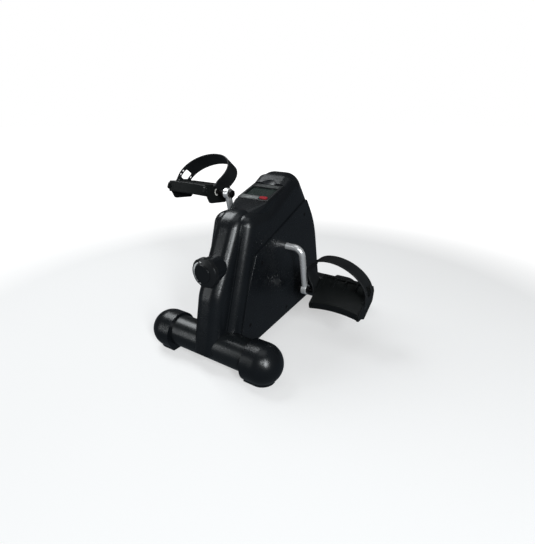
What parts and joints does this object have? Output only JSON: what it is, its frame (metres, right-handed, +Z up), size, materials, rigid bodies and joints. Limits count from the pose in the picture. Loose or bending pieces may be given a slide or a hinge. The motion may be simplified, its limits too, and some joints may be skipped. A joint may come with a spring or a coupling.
{
  "type": "pedal exerciser",
  "caption": "Floor-standing pedal exerciser with a narrow casing on two domed feet, strapped pedals on bent cranks, a front tension knob and a small display.",
  "frame": {"origin": "on the floor, midway between the two feet and on the casing's centre plane", "axes": "+Z up, +X to the right-hand pedal, -Y to the knob and the person pedalling, +Y to the rear"},
  "size_m": [0.3904, 0.372, 0.3184],
  "materials": {
    "black_painted_steel": "satin black powder coat",
    "black_casing": "satin black moulded plastic",
    "black_trim": "satin black moulded plastic",
    "pad_rubber": "matt black rubber",
    "zinc_steel": "zinc-plated steel",
    "clear_lens": "clear plastic window",
    "lcd_glass": "grey-green liquid crystal panel",
    "board_green": "green circuit board",
    "red_button": "red moulded plastic",
    "cable_rubber": "black cable sheath",
    "bearing_brass": "sintered bronze bush",
    "wheel_iron": "grey cast iron, turned rim",
    "grey_felt": "pressed grey felt",
    "white_plastic": "natural white plastic",
    "cap_gloss": "glossy black plastic",
    "crank_chrome": "bright chrome plate",
    "pedal_plastic": "matt black moulded plastic",
    "strap_plastic": "flexible black moulded plastic, fine ribbing"
  },
  "bodies": {
    "frame": {"main_frame": "black_painted_steel", "front_foot_tube": "black_painted_steel", "rear_foot_tube": "black_painted_steel", "front_right_end_cap": "black_casing", "rear_right_end_cap": "black_casing", "front_left_end_cap": "black_casing", "rear_left_end_cap": "black_casing", "foot_pads": "pad_rubber", "foot_bolts": "zinc_steel", "left_shell": "black_casing", "right_shell": "black_casing", "console_cover": "black_casing", "left_side_cover": "black_casing", "right_side_cover": "black_casing", "shell_screws": "zinc_steel", "display_case": "black_trim", "display_lens": "clear_lens", "lcd_panel": "lcd_glass", "display_board": "board_green", "display_battery": "zinc_steel", "speed_sensor": "black_trim", "sensor_cable": "cable_rubber", "left_axle_bearing": "bearing_brass", "right_axle_bearing": "bearing_brass", "felt_lining": "grey_felt", "brake_band": "zinc_steel", "band_pin": "zinc_steel", "tension_spring": "zinc_steel", "knob_collar": "black_casing"},
    "crankset": {"crank_axle": "zinc_steel", "crank_pins": "zinc_steel", "brake_wheel": "wheel_iron", "wheel_screws": "zinc_steel", "sensor_magnet": "zinc_steel", "left_crank": "crank_chrome", "right_crank": "crank_chrome", "left_pedal_spindle": "zinc_steel", "right_pedal_spindle": "zinc_steel", "spindle_nuts": "zinc_steel", "spindle_clips": "zinc_steel"},
    "left_pedal": {"left_pedal": "pedal_plastic", "left_pedal_bushes": "white_plastic", "left_pedal_cap": "black_trim", "left_strap": "strap_plastic"},
    "right_pedal": {"right_pedal": "pedal_plastic", "right_pedal_bushes": "white_plastic", "right_pedal_cap": "black_trim", "right_strap": "strap_plastic"},
    "tension_knob": {"tension_knob": "black_trim", "knob_cap": "cap_gloss", "tension_screw": "zinc_steel"},
    "tension_slider": {"tension_slider": "white_plastic"},
    "display_button": {"display_button": "red_button"}
  },
  "joints": [
    {"name": "crank_spin", "type": "hinge", "parent": "frame", "child": "crankset", "pos_m": [0, 0.005, 0.1674], "axis": [1, 0, 0], "continuous": true},
    {"name": "left_pedal_spin", "type": "hinge", "parent": "crankset", "child": "left_pedal", "pos_m": [-0.1475, -0.01414, 0.25165], "axis": [1, 0, 0], "continuous": true},
    {"name": "right_pedal_spin", "type": "hinge", "parent": "crankset", "child": "right_pedal", "pos_m": [0.1475, 0.02414, 0.08315], "axis": [1, 0, 0], "continuous": true},
    {"name": "tension_knob_turn", "type": "hinge", "parent": "frame", "child": "tension_knob", "pos_m": [0, -0.159, 0.1638], "axis": [0, 1, 0], "range_deg": [0, 720]},
    {"name": "tension_slide", "type": "slide", "parent": "frame", "child": "tension_slider", "axis": [0, -1, 0], "range_m": [0, 0.0026]},
    {"name": "display_button_press", "type": "slide", "parent": "frame", "child": "display_button", "axis": [0, 0.2998, -0.954], "range_m": [0, 0.0012]}
  ],
  "couplings": [
    {"joint": "tension_slide", "follows": "tension_knob_turn", "m_per_rad": 0.00019894}
  ]
}
